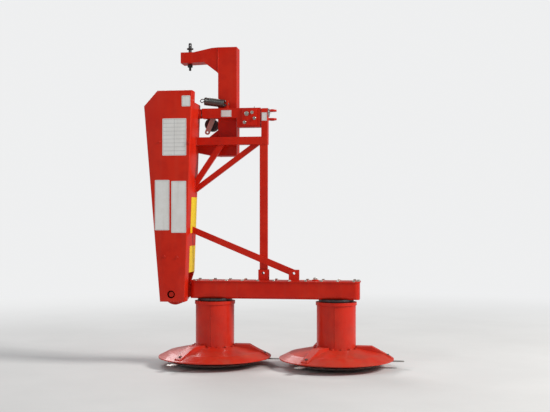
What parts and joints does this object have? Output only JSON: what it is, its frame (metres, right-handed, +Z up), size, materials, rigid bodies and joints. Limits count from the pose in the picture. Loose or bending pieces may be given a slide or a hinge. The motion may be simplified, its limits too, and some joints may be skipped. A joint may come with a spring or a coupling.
{
  "type": "rotary drum mower",
  "caption": "Rear-mounted rotary mower with belt-driven cutting drums, parked on its saucers with arm and hitch frame folded upright.",
  "frame": {"origin": "on the ground under the middle of the parked machine's box", "axes": "+X along the cutting beam from the drive end to the outer drum, +Y towards where the tractor stands in work, +Z up"},
  "size_m": [1.651, 0.7588, 2.1295],
  "materials": {
    "red_paint": "gloss orange-red paint",
    "bare_steel": "plain worn steel",
    "zinc": "zinc-plated",
    "dark_steel": "dark oiled steel"
  },
  "bodies": {
    "beam": {"beam_housing": "red_paint", "beam_lid": "red_paint", "gear_case": "red_paint", "collar_inner": "dark_steel", "collar_outer": "dark_steel", "stay_socket": "red_paint", "strut_socket": "red_paint"},
    "drum_inner": {"drum_inner": "red_paint", "spindle_inner": "bare_steel", "disc_inner": "red_paint", "knives_inner": "bare_steel", "knife_bolts_inner": "dark_steel"},
    "drum_outer": {"drum_outer": "red_paint", "spindle_outer": "bare_steel", "disc_outer": "red_paint", "knives_outer": "bare_steel", "knife_bolts_outer": "dark_steel"},
    "saucer_inner": {"saucer_inner": "bare_steel"},
    "saucer_outer": {"saucer_outer": "bare_steel"},
    "arm": {"back_plate": "red_paint", "arm_girder": "red_paint", "rear_cheek": "red_paint", "belt_cover": "red_paint", "pto_housing": "red_paint", "fork_lug_low": "red_paint", "fork_arm": "red_paint", "fork_brace": "red_paint", "fork_brace_long": "red_paint", "fork_lug_high": "red_paint", "king_pin": "bare_steel", "stay_bar": "red_paint", "strut": "red_paint"},
    "pto_shaft": {"pto_shaft": "bare_steel"},
    "hitch": {"swing_box": "red_paint", "cross_beam": "red_paint", "hitch_arm_left": "red_paint", "hitch_arm_right": "red_paint", "mast_plates": "red_paint", "hitch_pin_left": "dark_steel", "hitch_pin_right": "dark_steel", "latch_spring": "zinc", "spring_lug": "red_paint", "latch_link": "zinc", "hanger_cup": "dark_steel"}
  },
  "joints": [
    {"name": "drum_inner_spin", "type": "hinge", "parent": "beam", "child": "drum_inner", "pos_m": [-0.3945, 0, 0.42], "axis": [0, 0, 1], "continuous": true},
    {"name": "drum_outer_spin", "type": "hinge", "parent": "beam", "child": "drum_outer", "pos_m": [0.3955, 0, 0.42], "axis": [0, 0, 1], "continuous": true},
    {"name": "saucer_inner_spin", "type": "hinge", "parent": "drum_inner", "child": "saucer_inner", "pos_m": [-0.3945, 0, 0.03], "axis": [0, 0, 1], "continuous": true},
    {"name": "saucer_outer_spin", "type": "hinge", "parent": "drum_outer", "child": "saucer_outer", "pos_m": [0.3955, 0, 0.03], "axis": [0, 0, 1], "continuous": true},
    {"name": "arm_fold", "type": "hinge", "parent": "beam", "child": "arm", "pos_m": [-0.6445, 0, 0.465], "axis": [0, -1, 0], "range_deg": [0, 100]},
    {"name": "drive_input_spin", "type": "hinge", "parent": "arm", "child": "pto_shaft", "pos_m": [-0.668, 0.1, 1.6], "axis": [0, 1, 0], "continuous": true},
    {"name": "hitch_swing", "type": "hinge", "parent": "arm", "child": "hitch", "pos_m": [-0.2945, 0.059, 1.641], "axis": [1, 0, 0], "range_deg": [0, 90]}
  ],
  "couplings": [
    {"joint": "drum_outer_spin", "follows": "drum_inner_spin", "ratio": -1},
    {"joint": "drive_input_spin", "follows": "drum_inner_spin", "ratio": 0.29}
  ]
}
